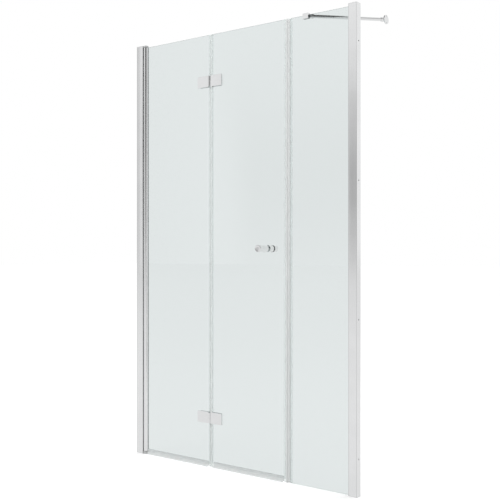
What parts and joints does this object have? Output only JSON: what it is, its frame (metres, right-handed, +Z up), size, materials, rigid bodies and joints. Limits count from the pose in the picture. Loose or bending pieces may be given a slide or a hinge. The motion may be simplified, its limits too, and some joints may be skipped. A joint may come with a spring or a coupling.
{
  "type": "folding shower door",
  "caption": "Glass shower door for a niche: a leaf on a wall profile pivot, a knobbed leaf folding on hinges, a fixed panel with a wall bar.",
  "frame": {"origin": "on the left wall, in the middle of the glass, at the height of the tray", "axes": "+X along the door from the left wall to the right wall, +Y from outside into the shower, +Z up"},
  "size_m": [1.2, 0.324, 1.956],
  "materials": {
    "profile": "bright anodised",
    "carrier": "satin anodised",
    "chrome": "polished chrome plate",
    "steel": "plain stainless",
    "glass": "clear toughened",
    "clear_pvc": "clear flexible",
    "magnet": "white, magnet-filled",
    "grey_rubber": "soft",
    "white_plastic": "low-friction",
    "black_rubber": "soft buffer",
    "grey_plastic": "moulded",
    "clear_plastic": "translucent"
  },
  "bodies": {
    "frame": {"left_wall_profile": "profile", "left_profile_cap": "profile", "channel_seal_strip": "clear_pvc", "upper_pivot_block": "grey_plastic", "lower_pivot_block": "grey_plastic", "upper_pivot_pin": "steel", "lower_pivot_pin": "steel", "pivot_block_screws": "steel", "right_wall_profile": "profile", "right_profile_cap": "profile", "glass_carrier": "carrier", "carrier_screws": "steel", "glazing_gaskets": "grey_rubber", "setting_block": "grey_rubber", "base_strip": "clear_pvc", "fixed_glass": "glass", "strike_seal": "clear_pvc", "strike_magnet": "magnet", "bar_clamp": "chrome", "bar_clamp_pads": "grey_rubber", "bar_clamp_screw": "steel", "support_bar": "chrome", "bar_wall_bracket": "chrome", "bar_grub_screws": "steel"},
    "wall_leaf": {"pivot_profile": "profile", "upper_pivot_bush": "white_plastic", "lower_pivot_bush": "white_plastic", "wall_leaf_glass": "glass", "wall_leaf_bottom_seal": "clear_pvc", "wall_leaf_fold_seal": "clear_pvc", "upper_outer_plate_wall": "chrome", "upper_back_plate_wall": "chrome", "upper_knuckle_wall": "chrome", "lower_outer_plate_wall": "chrome", "lower_back_plate_wall": "chrome", "lower_knuckle_wall": "chrome", "wall_hinge_pads": "clear_plastic", "wall_hinge_screws": "steel", "hinge_pins": "steel", "hinge_washers": "clear_plastic"},
    "handle_leaf": {"handle_leaf_glass": "glass", "handle_leaf_bottom_seal": "clear_pvc", "handle_leaf_fold_seal": "clear_pvc", "door_magnet_seal": "clear_pvc", "door_magnet": "magnet", "upper_outer_plate_handle": "chrome", "upper_back_plate_handle": "chrome", "upper_knuckle_handle": "chrome", "lower_outer_plate_handle": "chrome", "lower_back_plate_handle": "chrome", "lower_knuckle_handle": "chrome", "handle_hinge_pads": "clear_plastic", "handle_hinge_screws": "steel", "outer_knob": "chrome", "inner_knob": "chrome", "inner_knob_ring": "black_rubber", "knob_stud": "steel", "knob_washers": "clear_plastic", "knob_sleeve": "clear_plastic"}
  },
  "joints": [
    {"name": "wall_pivot", "type": "hinge", "parent": "frame", "child": "wall_leaf", "pos_m": [0.0465, 0, 0], "axis": [0, 0, 1], "range_deg": [0, 90]},
    {"name": "fold_hinge", "type": "hinge", "parent": "wall_leaf", "child": "handle_leaf", "pos_m": [0.4465, -0.0105, 0], "axis": [0, 0, 1], "range_deg": [-165, 0]}
  ]
}
